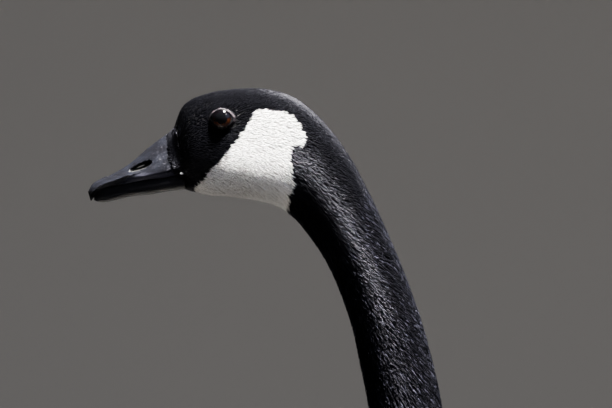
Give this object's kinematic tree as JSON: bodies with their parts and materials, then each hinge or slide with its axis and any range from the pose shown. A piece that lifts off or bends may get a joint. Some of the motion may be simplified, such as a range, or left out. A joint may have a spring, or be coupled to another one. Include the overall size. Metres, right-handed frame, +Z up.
{
  "type": "canada goose",
  "caption": "Life-size still model of a standing Canada goose with a raised black neck, white cheek patch, folded wings, tail and webbed feet.",
  "frame": {"origin": "on the floor under the middle of the goose's box, between its feet and on its plane of symmetry", "axes": "+Z up; the goose faces -X, and its own left side is -Y"},
  "size_m": [0.6602, 0.2344, 0.816],
  "materials": {
    "black_feather": "satin",
    "breast_feather": "matt",
    "back_feather": "matt",
    "tail_feather": "satin",
    "bill_horn": "satin",
    "eye_glass": "gloss",
    "leg_skin": "matt"
  },
  "bodies": {
    "root": {"head": "black_feather", "neck_upper": "black_feather", "neck_middle": "black_feather", "neck_lower": "black_feather", "torso": "breast_feather", "thigh_left": "breast_feather", "thigh_right": "breast_feather", "wing_left": "back_feather", "wing_right": "back_feather", "tail": "tail_feather", "bill_upper": "bill_horn", "bill_lower": "bill_horn", "eye_left": "eye_glass", "eye_right": "eye_glass", "shank_left": "leg_skin", "foot_left": "leg_skin", "claw_left_inner": "bill_horn", "claw_left_middle": "bill_horn", "claw_left_outer": "bill_horn", "shank_right": "leg_skin", "foot_right": "leg_skin", "claw_right_inner": "bill_horn", "claw_right_middle": "bill_horn", "claw_right_outer": "bill_horn"}
  },
  "joints": []
}
